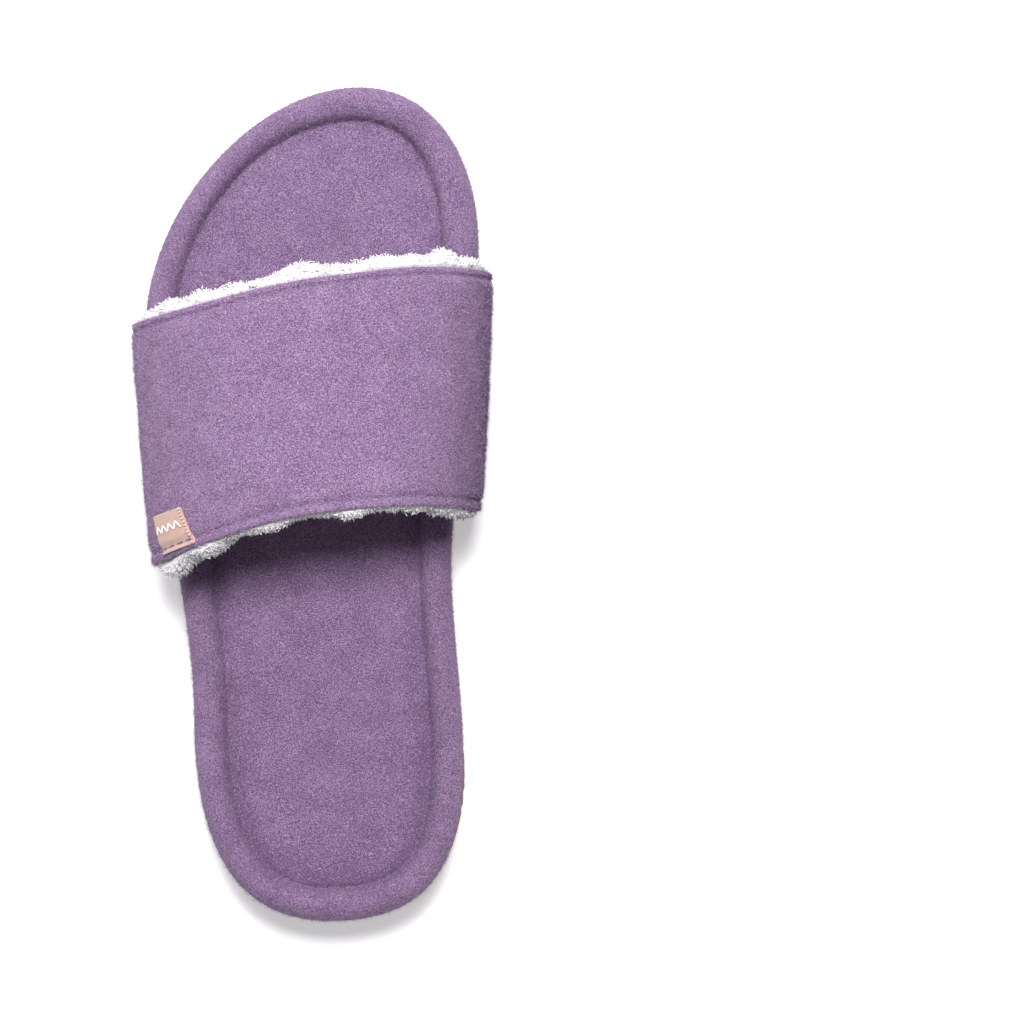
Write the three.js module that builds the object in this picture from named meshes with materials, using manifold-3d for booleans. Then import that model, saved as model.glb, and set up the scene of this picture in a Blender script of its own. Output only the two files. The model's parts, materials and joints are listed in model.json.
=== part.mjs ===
// A house slipper of the open-toed slide kind, for the left foot, in millimetres.
// +Z is up, +Y points to the toe and +X to the big-toe side. The slipper stands on its outsole at z = 0.
//
// The sole is a stack: a rubber outsole, a foam midsole, a fibre board and a foam footbed with a soft roll
// round its edge, all covered in felt. A wide band of felt, foam and sherpa fleece arches over the foot,
// and the felt is turned under the midsole on both sides and held there by the outsole.
import * as THREE from "three";
import { mergeVertices } from "three/addons/utils/BufferGeometryUtils.js";
import Module from "manifold-3d";

const wasm = await Module();
wasm.setup();

// ---- Sizes ----

const clearance = 0.3; // between neighbours, which real glue and compressed felt would close

// Plan of the sole. Depths are distances from the tip or from the back of the heel.
const soleLength = 262;
const ballWidth = 104.5;
const heelWidth = 84.4;
const heelShift = 5.2; // the heel's middle, towards the big-toe side
const tipShift = 15; // the tip, towards the big-toe side
const archPinch = 8.6; // how far the inner edge draws in behind the ball
const medialBallDepth = 50;
const lateralBallDepth = 76;
const medialHeelDepth = 51;
const lateralHeelDepth = 64;
const archDepth = 111; // from the heel to where the inner edge is furthest in
const medialToeFullness = 0.6; // Bezier handle as a share of its span: 0.55 draws an ellipse
const lateralToeFullness = 0.49;
const medialHeelFullness = 0.71;
const lateralHeelFullness = 0.66;
const sideFullness = 0.3;

// Heights of the sole's stack
const outsoleThickness = 3.5;
const feltThickness = 1.6;
const midsoleThickness = 10;
const boardThickness = 1.2;
const padThickness = 4.4;
const coverThickness = 1.8;

// The soft roll round the footbed
const rimWidth = 10.5;
const rimRise = 5; // above the footbed's flat panel
const rimDrop = 2; // the roll's widest line, below that panel
const rimUndercut = 40; // degrees below the widest line at which the cover is sewn to the wrap

// The felt wrap on the sole's side
const wrapInsetTop = 1.4;
const wrapInsetFoot = 0.6;
const wrapMargin = 12; // how far the wrap is turned in under the midsole
const seamThread = 0.6;

// Tread
const treadDepth = 1.3;
const treadGroove = 2.6;
const treadPitch = 11;
const treadBow = 190; // radius of the bowed grooves
const outsoleInset = 0.2;
const outsoleChamfer = 0.7;
const outsoleSkew = 0.2; // degrees about the tip: it is glued on with its heel towards the big-toe side

// The band over the foot. Distances from the tip are to the band's front corners.
const medialFront = 59;
const lateralFront = 75;
const medialBand = 74; // front to back
const lateralBand = 75;
const frontBow = 5.5; // the front edge bows to the toe, and the rear edge too
const frontBowSkew = 1.25; // above 1, the front bow is fullest towards the big-toe side
const rearBow = 8;
const frontCrown = 64;
const rearCrown = 79;
const crownShift = 6; // the crown, towards the big-toe side
const crownSquareness = 2.35; // exponent of the arch: 2 is an ellipse
const bulgeHeight = 30; // where the band's sides stand furthest out
const lateralFrontStandoff = 3.5; // of the band's sides from the edge of the sole
const medialFrontStandoff = 4.6;
const lateralRearStandoff = 6.8;
const medialRearStandoff = 8.6;
const bandMargin = 11.5; // how far the band's felt is turned in under the midsole
const bandTuck = 1.5; // where that margin starts, in from the edge of the sole
const shellThickness = 1.6;
const interliningThickness = 2;
const fleeceThickness = 5.5;
const marginShare = 0.08; // shares of the way across: margin, then side, then arch
const sideShare = 0.22;
const fleeceEnd = 0.16; // where the fleece is trimmed, above the turned-in margin
const interliningEnd = 0.26;

// Sewing
const hemWidth = 2.4; // the topstitching, from the band's edges
const thread = 0.6;
const labelFrom = 0.29; // across the band
const labelTo = 0.352;
const labelTail = 1.2; // the label's lower end, from the band's rear edge
const labelLength = 12.5;
const labelThickness = 0.9;

// Facets
const soleSegments = 56;
const rimSteps = 8;
const acrossSteps = 40;
const alongSteps = 4;
const threadSides = 6;
const threadSteps = 26;

// ---- Heights worked out from the stack ----

const marginBottom = outsoleThickness + clearance;
const marginTop = marginBottom + feltThickness;
const midsoleBottom = marginTop + clearance;
const midsoleTop = midsoleBottom + midsoleThickness;
const boardBottom = midsoleTop + clearance;
const boardTop = boardBottom + boardThickness;
const padBottom = boardTop + clearance;
const padTop = padBottom + padThickness;
const panelBottom = padTop + clearance;
const panelTop = panelBottom + coverThickness;
const rimHeight = panelTop - rimDrop; // of the roll's widest line
const tip = soleLength / 2;
const heel = -soleLength / 2;

// ---- Colours ----

function finish(color, roughness) {
  return new THREE.MeshStandardMaterial({ color, roughness, metalness: 0 });
}
const felt = finish(0x8c6a9b, 0.95);
const fleece = finish(0xf0eef0, 1);
const foam = finish(0xe9e4da, 0.9);
const fibreBoard = finish(0xb59f7e, 0.9);
const rubber = finish(0xb08a66, 0.7);
const sewingThread = finish(0x6f5080, 0.8);
const ribbon = finish(0xe6bfa2, 0.6);

// ---- Solids ----

function solidOf(geometry) {
  const bare = geometry.clone();
  bare.deleteAttribute("normal");
  bare.deleteAttribute("uv");
  const merged = mergeVertices(bare, 1e-3);
  const vertProperties = merged.getAttribute("position").array;
  return new wasm.Manifold(
    new wasm.Mesh({ numProp: 3, vertProperties, triVerts: merged.index.array }),
  );
}

function geometryOf(solid) {
  const { vertProperties, triVerts } = solid.getMesh();
  return new THREE.BufferGeometry()
    .setAttribute("position", new THREE.BufferAttribute(vertProperties, 3))
    .setIndex(new THREE.BufferAttribute(triVerts, 1));
}

function cut(geometry, ...cutters) {
  const left = cutters.reduce((solid, cutter) => solid.subtract(solidOf(cutter)), solidOf(geometry));
  return geometryOf(left);
}

function piece(name, geometry, material) {
  const mesh = new THREE.Mesh(geometry, material);
  mesh.name = name;
  return mesh;
}

// ---- The sole's plan ----

// A quarter turn between a point where the outline runs along X and one where it runs along Y, or a side
// between two points where it runs along Y.
function outlinePath() {
  const back = new THREE.Vector2(heelShift, heel);
  const toe = new THREE.Vector2(tipShift, tip);
  const medialHeel = new THREE.Vector2(heelShift + heelWidth / 2, heel + medialHeelDepth);
  const lateralHeel = new THREE.Vector2(heelShift - heelWidth / 2, heel + lateralHeelDepth);
  const medialBall = new THREE.Vector2(ballWidth / 2, tip - medialBallDepth);
  const lateralBall = new THREE.Vector2(-ballWidth / 2, tip - lateralBallDepth);
  const arch = new THREE.Vector2(ballWidth / 2 - archPinch, heel + archDepth);
  const path = new THREE.Path();
  const turn = (from, to, fullness, startsAlongX) => {
    const across = (to.x - from.x) * fullness;
    const along = (to.y - from.y) * fullness;
    const first = startsAlongX ? [from.x + across, from.y] : [from.x, from.y + along];
    const second = startsAlongX ? [to.x, to.y - along] : [to.x - across, to.y];
    path.bezierCurveTo(...first, ...second, to.x, to.y);
  };
  const side = (from, to) => {
    const along = (to.y - from.y) * sideFullness;
    path.bezierCurveTo(from.x, from.y + along, to.x, to.y - along, to.x, to.y);
  };
  path.moveTo(back.x, back.y);
  turn(back, medialHeel, medialHeelFullness, true);
  side(medialHeel, arch);
  side(arch, medialBall);
  turn(medialBall, toe, medialToeFullness, false);
  turn(toe, lateralBall, lateralToeFullness, true);
  side(lateralBall, lateralHeel);
  turn(lateralHeel, back, lateralHeelFullness, false);
  return path;
}

// Points round the outline, each with the direction straight out of the sole.
const outline = outlinePath().getSpacedPoints(soleSegments).slice(0, soleSegments);
const outward = outline.map((_, k) => {
  const before = outline.at(k - 1);
  const after = outline[(k + 1) % soleSegments];
  return new THREE.Vector2(after.y - before.y, before.x - after.x).normalize();
});
const centre = new THREE.Vector2(heelShift / 2, 0);

// Insets up to the deepest follow the outline, and those further in shrink to the centre.
const deepest = wrapMargin + 2;
const toCentre = deepest + 40; // the inset that stands for the centre itself

function planPoint(k, inset) {
  const followed = Math.min(inset, deepest);
  const point = outline[k].clone().addScaledVector(outward[k], -followed);
  return inset > deepest ? point.lerp(centre, (inset - deepest) / (toCentre - deepest)) : point;
}

// A section of the sole, as points of inset from its edge and height, turned into a round solid and then
// pulled out to the sole's plan.
function aroundSole(section) {
  const lathe = section.map(([inset, z]) => new THREE.Vector2(toCentre - inset, z));
  const geometry = new THREE.LatheGeometry(lathe, soleSegments);
  const position = geometry.getAttribute("position");
  for (let n = 0; n < position.count; n++) {
    const [inset, z] = section[n % section.length];
    const k = Math.floor(n / section.length) % soleSegments;
    const { x, y } = planPoint(k, inset);
    position.setXYZ(n, x, y, z);
  }
  return geometry;
}

function slab(inset, bottom, top) {
  return aroundSole([
    [toCentre, bottom],
    [inset, bottom],
    [inset, top],
    [toCentre, top],
  ]);
}

// The outline's x at a height y of the plan, on the lateral side (-1) or the medial side (+1).
function edgeX(side, y) {
  for (let k = 0; k < soleSegments; k++) {
    const a = outline[k];
    const b = outline[(k + 1) % soleSegments];
    const between = (y - a.y) / (b.y - a.y);
    if (side * (b.y - a.y) > 0 && between >= 0 && between <= 1) {
      return THREE.MathUtils.lerp(a.x, b.x, between);
    }
  }
  throw new Error("the band reaches past the sole");
}

// ---- The sole's pieces ----

function outsole() {
  const blank = aroundSole([
    [toCentre, 0],
    [outsoleInset + outsoleChamfer, 0],
    [outsoleInset, outsoleChamfer],
    [outsoleInset, outsoleThickness],
    [toCentre, outsoleThickness],
  ]);
  const reach = ballWidth; // past both edges
  const grooves = [];
  const count = Math.floor((soleLength - 2 * treadPitch) / treadPitch);
  for (let n = 0; n <= count; n++) {
    const middle = (n - count / 2) * treadPitch;
    const half = Math.asin(reach / 2 / treadBow);
    const band = new THREE.Shape();
    band.absarc(0, -treadBow, treadBow + treadGroove / 2, Math.PI / 2 + half, Math.PI / 2 - half, true);
    band.absarc(0, -treadBow, treadBow - treadGroove / 2, Math.PI / 2 - half, Math.PI / 2 + half, false);
    const groove = new THREE.ExtrudeGeometry(band, {
      depth: treadDepth * 2,
      bevelEnabled: false,
      curveSegments: 4,
    });
    grooves.push(groove.translate(heelShift / 2, middle, -treadDepth));
  }
  return cut(blank, ...grooves);
}

function bottomFiller() {
  return slab(bandTuck + bandMargin + 2 * clearance, marginBottom, marginTop);
}

function midsole() {
  const gap = feltThickness + clearance;
  return aroundSole([
    [toCentre, midsoleBottom],
    [wrapInsetFoot + gap, midsoleBottom],
    [wrapInsetTop + gap, midsoleTop],
    [toCentre, midsoleTop],
  ]);
}

function insoleBoard() {
  return slab(wrapInsetTop + feltThickness + clearance, boardBottom, boardTop);
}

// The roll's outer line at a depth inside the cover, as a point at an angle above its widest line.
function rimPoint(depth, degrees) {
  const angle = THREE.MathUtils.degToRad(degrees);
  const across = rimWidth / 2 - depth;
  const up = rimRise + rimDrop - depth;
  return [rimWidth / 2 - across * Math.cos(angle), rimHeight + up * Math.sin(angle)];
}

// Angle at which the roll meets a level on its inner side.
function rimAngleAt(depth, level) {
  const up = rimRise + rimDrop - depth;
  return 180 - THREE.MathUtils.radToDeg(Math.asin((level - rimHeight) / up));
}

function rimArc(depth, from, to) {
  return Array.from({ length: rimSteps + 1 }, (_, n) =>
    rimPoint(depth, THREE.MathUtils.lerp(from, to, n / rimSteps)),
  );
}

function rimRoll() {
  const depth = coverThickness + clearance;
  const low = Math.asin((padBottom - rimHeight) / (rimRise + rimDrop - depth));
  const foot = THREE.MathUtils.radToDeg(low);
  return aroundSole([...rimArc(depth, foot, 180 - foot), rimPoint(depth, foot)]);
}

function footbedPad() {
  return slab(rimWidth - coverThickness + clearance, padBottom, padTop);
}

function footbedCover() {
  return aroundSole([
    [toCentre, panelBottom],
    ...rimArc(coverThickness, rimAngleAt(coverThickness, panelBottom), -rimUndercut),
    ...rimArc(0, -rimUndercut, rimAngleAt(0, panelTop)),
    [toCentre, panelTop],
  ]);
}

const [seamInset, seamTop] = rimPoint(0, -rimUndercut);
const wrapTop = seamTop - seamThread - 2 * clearance;

function soleWrap() {
  const corner = feltThickness / 2;
  const section = [
    [wrapInsetTop, wrapTop],
    [wrapInsetTop + feltThickness, wrapTop],
    [wrapInsetFoot + feltThickness, marginTop],
    [wrapMargin, marginTop],
    [wrapMargin, marginBottom],
    [wrapInsetFoot + corner, marginBottom],
    [wrapInsetFoot, marginBottom + corner],
    [wrapInsetTop, wrapTop],
  ];
  return cut(aroundSole(section), bandEnvelope());
}

function rimSeamThread() {
  const sides = 6;
  const section = Array.from({ length: sides + 1 }, (_, n) => {
    const angle = (-2 * Math.PI * n) / sides;
    const radius = seamThread / 2;
    return [
      seamInset + seamThread + radius * Math.cos(angle),
      wrapTop + clearance + radius + radius * Math.sin(angle),
    ];
  });
  return aroundSole(section);
}

// ---- The band over the foot ----

const { lerp, clamp, smoothstep } = THREE.MathUtils;
const frontCorner = { lateral: tip - lateralFront, medial: tip - medialFront };
const rearCorner = {
  lateral: frontCorner.lateral - lateralBand,
  medial: frontCorner.medial - medialBand,
};

// Both edges run straight up the band's sides and bow over the foot.
function bandY(across, along) {
  const arch = clamp((across - sideShare) / (1 - 2 * sideShare), 0, 1);
  const plan = (1 - Math.cos(Math.PI * arch)) / 2;
  const bulge = frontBow * Math.sin(Math.PI * plan ** frontBowSkew);
  const front = lerp(frontCorner.lateral, frontCorner.medial, plan) + bulge;
  const rear = lerp(rearCorner.lateral, rearCorner.medial, plan) + rearBow * Math.sin(Math.PI * plan);
  return lerp(front, rear, along);
}

// How far the band's side stands out from the sole's edge, and where that puts it.
function standoff(side, along) {
  return side < 0
    ? lerp(lateralFrontStandoff, lateralRearStandoff, along)
    : lerp(medialFrontStandoff, medialRearStandoff, along);
}

function sideX(side, along) {
  const corners = side < 0 ? "lateral" : "medial";
  const front = edgeX(side, frontCorner[corners]) + side * standoff(side, 0);
  const rear = edgeX(side, rearCorner[corners]) + side * standoff(side, 1);
  return lerp(front, rear, along);
}

// The felt's outer face: along is 0 at the front edge and 1 at the rear, and across runs from the end of
// the lateral margin, 0, over the foot to the end of the medial one, 1.
function bandSection(across, along) {
  const side = across < 0.5 ? -1 : 1;
  const share = Math.min(across, 1 - across);
  const y = bandY(across, along);
  const out = sideX(side, along);
  const tuck = edgeX(side, y) - side * bandTuck;
  if (share < marginShare) {
    return [tuck - side * bandMargin * (1 - share / marginShare), marginBottom];
  }
  if (share < sideShare) {
    const angle = ((share - marginShare) / (sideShare - marginShare)) * (Math.PI / 2);
    const rise = bulgeHeight - marginBottom;
    return [lerp(tuck, out, Math.sin(angle)), marginBottom + rise * (1 - Math.cos(angle))];
  }
  const angle = ((share - sideShare) / (0.5 - sideShare)) * (Math.PI / 2);
  const middle = (sideX(-1, along) + sideX(1, along)) / 2;
  const crown = lerp(frontCrown, rearCrown, along);
  const inward = Math.max(Math.cos(angle), 0) ** (2 / crownSquareness);
  const upward = Math.sin(angle) ** (2 / crownSquareness);
  const x = middle + crownShift * Math.sin(angle) ** 2 + (out - middle) * inward;
  return [x, bulgeHeight + (crown - bulgeHeight) * upward];
}

// A point at a depth inside that face, measured square to it in the plane of the section.
function bandPoint(across, along, depth) {
  const step = 1e-3;
  const [x, z] = bandSection(across, along);
  const [x0, z0] = bandSection(across - step, along);
  const [x1, z1] = bandSection(across + step, along);
  const inward = new THREE.Vector2(z1 - z0, x0 - x1).normalize();
  return new THREE.Vector3(x + inward.x * depth, bandY(across, along), z + inward.y * depth);
}

// A layer of the band between two depths, each a function of the place across and along.
function bandLayer(acrossFrom, acrossTo, alongFrom, alongTo, outer, inner, steps = [acrossSteps, alongSteps]) {
  const geometry = new THREE.BoxGeometry(1, 1, 1, steps[0], 1, steps[1]);
  const position = geometry.getAttribute("position");
  for (let n = 0; n < position.count; n++) {
    const across = lerp(acrossFrom, acrossTo, position.getX(n) + 0.5);
    const along = lerp(alongFrom, alongTo, position.getZ(n) + 0.5);
    const depth = (position.getY(n) > 0 ? outer : inner)(across, along);
    const { x, y, z } = bandPoint(across, along, depth);
    position.setXYZ(n, x, y, z);
  }
  return geometry;
}

// The space that the turned-under felt takes, with clearance, for what it passes through. It reaches a
// felt's thickness further on the outside, so that no crumb of the wrap is left beyond the band.
function bandEnvelope() {
  const pastMargin = (clearance / bandMargin) * marginShare;
  const pastEdge = clearance / lateralBand;
  return bandLayer(
    -pastMargin,
    1 + pastMargin,
    -pastEdge,
    1 + pastEdge,
    () => -clearance - feltThickness,
    () => shellThickness + clearance,
  );
}

// The room that the finished sole takes, with clearance, for what is pressed against it.
function soleEnvelope() {
  return aroundSole([
    [toCentre, 0],
    [-clearance, 0],
    ...rimArc(-clearance, 0, rimAngleAt(-clearance, panelTop + clearance)),
    [toCentre, panelTop + clearance],
  ]);
}

// 0 on the band's sides and 1 over the foot.
function overFoot(across) {
  return smoothstep(Math.min(across, 1 - across), sideShare, sideShare + 0.12);
}

function upperShell() {
  return bandLayer(
    0,
    1,
    0,
    1,
    () => 0,
    () => shellThickness,
  );
}

function interliningDepth(across) {
  const fade = smoothstep(Math.min(across, 1 - across), interliningEnd, interliningEnd + 0.08);
  return interliningThickness * lerp(0.3, 1, fade);
}

function upperInterlining() {
  const top = shellThickness + clearance;
  const hem = hemWidth / lateralBand;
  return bandLayer(
    interliningEnd,
    1 - interliningEnd,
    hem,
    1 - hem,
    () => top,
    (across) => top + interliningDepth(across),
  );
}

function upperLining() {
  const outer = (across) =>
    shellThickness + clearance + (interliningThickness + clearance) * overFoot(across);
  const inner = (across, along) => {
    const squeezed = standoff(across < 0.5 ? -1 : 1, along) - shellThickness - 3 * clearance;
    return outer(across) + lerp(squeezed, fleeceThickness, overFoot(across));
  };
  return cut(bandLayer(fleeceEnd, 1 - fleeceEnd, 0, 1, outer, inner), soleEnvelope());
}

// ---- Sewing on the band ----

function threadAlong(points) {
  const route = new THREE.CatmullRomCurve3(points);
  const section = new THREE.Shape();
  const radius = thread / 2;
  for (let n = 0; n < threadSides; n++) {
    const angle = (2 * Math.PI * n) / threadSides;
    section[n ? "lineTo" : "moveTo"](radius * Math.cos(angle), radius * Math.sin(angle));
  }
  return new THREE.ExtrudeGeometry(section, {
    steps: threadSteps,
    extrudePath: route,
    bevelEnabled: false,
  });
}

// A row of topstitching at a place along the band, which lies on the felt and passes over the label.
function topstitchRow(along, passesLabel) {
  const lowest = clearance + thread / 2;
  const points = Array.from({ length: threadSteps + 1 }, (_, n) => {
    const across = lerp(fleeceEnd, 1 - fleeceEnd, n / threadSteps);
    const reach = 0.04; // how far each side of the label the row rises and falls
    const onLabel =
      smoothstep(across, labelFrom - reach, labelFrom - reach / 4) -
      smoothstep(across, labelTo + reach / 4, labelTo + reach);
    const lift = passesLabel ? (labelThickness + clearance) * onLabel : 0;
    return bandPoint(across, along, -lowest - lift);
  });
  return threadAlong(points);
}

function frontTopstitch() {
  return topstitchRow(hemWidth / lateralBand, false);
}

function rearTopstitch() {
  return topstitchRow(1 - hemWidth / lateralBand, true);
}

function sideLabel() {
  const tail = 1 - labelTail / lateralBand;
  return bandLayer(
    labelFrom,
    labelTo,
    tail - labelLength / lateralBand,
    tail,
    () => -clearance - labelThickness,
    () => -clearance,
    [4, 3],
  );
}

// ---- Assembly ----

function gluedAskew(mesh) {
  const glued = new THREE.Group();
  glued.position.y = tip;
  glued.rotation.z = THREE.MathUtils.degToRad(outsoleSkew);
  mesh.position.y = -tip;
  return glued.add(mesh);
}

const slipper = new THREE.Group();
slipper.add(
  gluedAskew(piece("outsole", outsole(), rubber)),
  piece("bottom_filler", bottomFiller(), foam),
  piece("midsole", midsole(), foam),
  piece("insole_board", insoleBoard(), fibreBoard),
  piece("rim_roll", rimRoll(), foam),
  piece("footbed_pad", footbedPad(), foam),
  piece("footbed_cover", footbedCover(), felt),
  piece("sole_wrap", soleWrap(), felt),
  piece("rim_seam_thread", rimSeamThread(), sewingThread),
  piece("upper_shell", upperShell(), felt),
  piece("upper_interlining", upperInterlining(), foam),
  piece("upper_lining", upperLining(), fleece),
  piece("front_topstitch", frontTopstitch(), sewingThread),
  piece("rear_topstitch", rearTopstitch(), sewingThread),
  piece("side_label", sideLabel(), ribbon),
);

// The origin is under the middle of the whole slipper's box, on the surface that it stands on.
const box = new THREE.Box3().setFromObject(slipper);
const middle = box.getCenter(new THREE.Vector3());
slipper.position.set(-middle.x, -middle.y, -box.min.z);

export default slipper;
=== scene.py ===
import json
import math

import bmesh
import bpy
from mathutils import Matrix, Vector, noise
from mathutils.geometry import interpolate_bezier

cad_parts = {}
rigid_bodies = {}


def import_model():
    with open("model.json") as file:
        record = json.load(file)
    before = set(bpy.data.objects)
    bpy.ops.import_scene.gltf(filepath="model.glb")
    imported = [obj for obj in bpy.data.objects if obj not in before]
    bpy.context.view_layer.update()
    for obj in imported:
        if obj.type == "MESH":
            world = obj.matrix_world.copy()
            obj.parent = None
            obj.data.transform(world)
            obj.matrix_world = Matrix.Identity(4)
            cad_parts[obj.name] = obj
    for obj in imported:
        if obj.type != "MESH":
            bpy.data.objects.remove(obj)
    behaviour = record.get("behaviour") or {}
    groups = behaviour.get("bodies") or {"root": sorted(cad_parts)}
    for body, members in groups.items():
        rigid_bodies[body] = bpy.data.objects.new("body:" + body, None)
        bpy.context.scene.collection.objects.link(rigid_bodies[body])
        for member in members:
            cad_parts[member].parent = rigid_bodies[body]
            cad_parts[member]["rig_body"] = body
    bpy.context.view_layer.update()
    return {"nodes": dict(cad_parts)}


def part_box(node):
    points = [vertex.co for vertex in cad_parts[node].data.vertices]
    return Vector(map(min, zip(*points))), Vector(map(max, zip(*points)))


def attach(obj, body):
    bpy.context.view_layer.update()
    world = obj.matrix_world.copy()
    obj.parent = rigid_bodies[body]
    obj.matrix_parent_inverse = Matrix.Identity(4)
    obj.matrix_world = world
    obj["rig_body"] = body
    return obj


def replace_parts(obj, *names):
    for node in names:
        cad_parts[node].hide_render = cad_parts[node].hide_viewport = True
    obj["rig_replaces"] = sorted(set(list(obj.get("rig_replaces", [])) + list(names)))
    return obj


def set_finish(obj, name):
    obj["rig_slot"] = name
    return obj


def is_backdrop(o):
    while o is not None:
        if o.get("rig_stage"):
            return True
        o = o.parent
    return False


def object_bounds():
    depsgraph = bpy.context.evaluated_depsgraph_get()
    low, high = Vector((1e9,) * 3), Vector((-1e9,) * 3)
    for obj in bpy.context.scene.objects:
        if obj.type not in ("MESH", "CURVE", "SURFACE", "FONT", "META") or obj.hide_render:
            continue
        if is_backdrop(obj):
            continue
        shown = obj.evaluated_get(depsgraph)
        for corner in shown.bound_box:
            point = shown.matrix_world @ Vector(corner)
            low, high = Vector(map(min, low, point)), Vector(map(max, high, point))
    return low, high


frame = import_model()

# ---- Studio ----
# A slipper and its mate lie side by side under the camera, which looks straight down over the middle of
# the pair. Only the left one is made, so its mate's place stays empty, but for an unseen dark card that
# keeps the light off the band's inner side as the mate would. The floor is a white, faintly lit table.

camera_height = 1.3
rim_level = 0.028
view_width = 0.3206  # across the picture at the rim's level
pair_middle = Vector((0.0624, -0.0025, camera_height))

lens = bpy.data.cameras.new("camera")
lens.lens = lens.sensor_width * (camera_height - rim_level) / view_width
camera = bpy.data.objects.new("camera", lens)
camera.location = pair_middle
bpy.context.collection.objects.link(camera)
bpy.context.scene.camera = camera
bpy.context.scene.view_settings.view_transform = "Standard"


def soft_lamp(name, place, side, watts):
    """A square soft box that faces the slipper."""
    light = bpy.data.lights.new(name, "AREA")
    light.size = side
    light.energy = watts
    lamp = bpy.data.objects.new(name, light)
    lamp.location = place
    lamp.rotation_euler = (-Vector(place)).to_track_quat("-Z", "Y").to_euler()
    bpy.context.collection.objects.link(lamp)


soft_lamp("key_lamp", (0.05, 0.56, 1.6), 0.5, 37.5)
soft_lamp("low_lamp", (-0.3, 1.7, 1.0), 0.8, 9)
world = bpy.data.worlds.new("studio")
world.use_nodes = True
world.node_tree.nodes["Background"].inputs["Color"].default_value = (1, 1, 1, 1)
world.node_tree.nodes["Background"].inputs["Strength"].default_value = 0.22
bpy.context.scene.world = world
table_glow, table_drop = 0.36, 0.0001  # its own light, and its depth below the tread
card_place, card_half_height, card_half_length = (0.074, 0.028, 0.034), 0.034, 0.05


class Value:
    """A socket of a material's nodes. A sum or product of such values adds the Math node for it."""

    def __init__(self, finish, socket):
        self.finish, self.socket = finish, socket

    def math(self, operation, *values):
        return self.finish.node("ShaderNodeMath", {"operation": operation}, dict(enumerate(values)))

    def __add__(self, other):
        return self.math("ADD", self, other)

    def __mul__(self, other):
        return self.math("MULTIPLY", self, other)

    __radd__, __rmul__ = __add__, __mul__


class Finish:
    """A material. Even values are set on its shader, and nodes drive what changes over the surface."""

    def __init__(self, name, roughness, **sockets):
        self.material = bpy.data.materials.new(name)
        self.material.use_nodes = True
        self.tree = self.material.node_tree
        self.shader = self.tree.nodes["Principled BSDF"]
        self.shader.inputs["Roughness"].default_value = roughness
        for socket, value in sockets.items():
            self.shader.inputs[socket.replace("_", " ")].default_value = value
        self.place = self.node("ShaderNodeTexCoord", output="Object")

    def node(self, kind, settings=None, inputs=None, output=0):
        made = self.tree.nodes.new(kind)
        for name, value in (settings or {}).items():
            if name == "stops":
                for _ in value[2:]:
                    made.color_ramp.elements.new(0.5)
                for stop, (at, colour) in zip(made.color_ramp.elements, value):
                    stop.position, stop.color = at, (*colour, 1)
            else:
                setattr(made, name, value)
        for name, value in (inputs or {}).items():
            self.feed(made.inputs[name], value)
        return Value(self, made.outputs[output])

    def feed(self, socket, value):
        if isinstance(value, Value):
            self.tree.links.new(value.socket, socket)
        else:
            socket.default_value = value

    def stretched(self, scale, turn=(0, 0, 0)):
        inputs = {"Vector": self.place, "Scale": scale, "Rotation": turn}
        return self.node("ShaderNodeMapping", {}, inputs)

    def noise(self, scale, detail=2, roughness=0.5, distortion=0, at=None):
        inputs = {"Vector": at or self.place, "Scale": scale, "Detail": detail}
        return self.node(
            "ShaderNodeTexNoise", {}, {**inputs, "Roughness": roughness, "Distortion": distortion}
        )

    def ramp(self, value, *stops):
        return self.node("ShaderNodeValToRGB", {"stops": stops}, {0: value})

    def bump(self, height, depth):
        inputs = {"Height": height, "Distance": depth}
        self.drive("Normal", self.node("ShaderNodeBump", {}, inputs))

    def drive(self, socket, value):
        self.feed(self.shader.inputs[socket], value)


paper = Finish("white_paper", 0.9, Base_Color=(0.93, 0.93, 0.94, 1), Emission_Color=(1, 1, 1, 1))
paper.shader.inputs["Emission Strength"].default_value = table_glow
underside = paper.node("ShaderNodeNewGeometry", output="Backfacing")
clear = paper.node("ShaderNodeBsdfTransparent", output="BSDF")
lit = Value(paper, paper.shader.outputs["BSDF"])
seen = paper.node("ShaderNodeMixShader", {}, {0: underside, 1: lit, 2: clear})
paper.feed(paper.tree.nodes["Material Output"].inputs["Surface"], seen)
bm = bmesh.new()
bmesh.ops.create_grid(bm, x_segments=1, y_segments=1, size=20)
bmesh.ops.translate(bm, vec=(0, 0, -table_drop), verts=bm.verts)
floor_mesh = bpy.data.meshes.new("floor")
bm.to_mesh(floor_mesh)
bm.free()
floor_mesh.materials.append(paper.material)
floor = bpy.data.objects.new("floor", floor_mesh)
bpy.context.collection.objects.link(floor)
floor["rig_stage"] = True

flag = Finish("dark_card", 0.9, Base_Color=(0.10, 0.07, 0.11, 1))
bm = bmesh.new()
stood = Matrix.Translation(card_place) @ Matrix.Rotation(math.pi / 2, 4, "Y")
card_size = Matrix.Diagonal((card_half_height, card_half_length, 1, 1))
bmesh.ops.create_grid(bm, x_segments=1, y_segments=1, size=1, matrix=stood @ card_size)
card_mesh = bpy.data.meshes.new("card")
bm.to_mesh(card_mesh)
bm.free()
card_mesh.materials.append(flag.material)
card = bpy.data.objects.new("card", card_mesh)
card.visible_camera = False
bpy.context.collection.objects.link(card)
card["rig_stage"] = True

# ---- Outsole ----
# The outsole is a sheet of tan foamed rubber, moulded with bowed tread bars and cut to the sole's plan.
# It is glued on last, a little askew, so its edge shows at the inner side of the heel.

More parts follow.
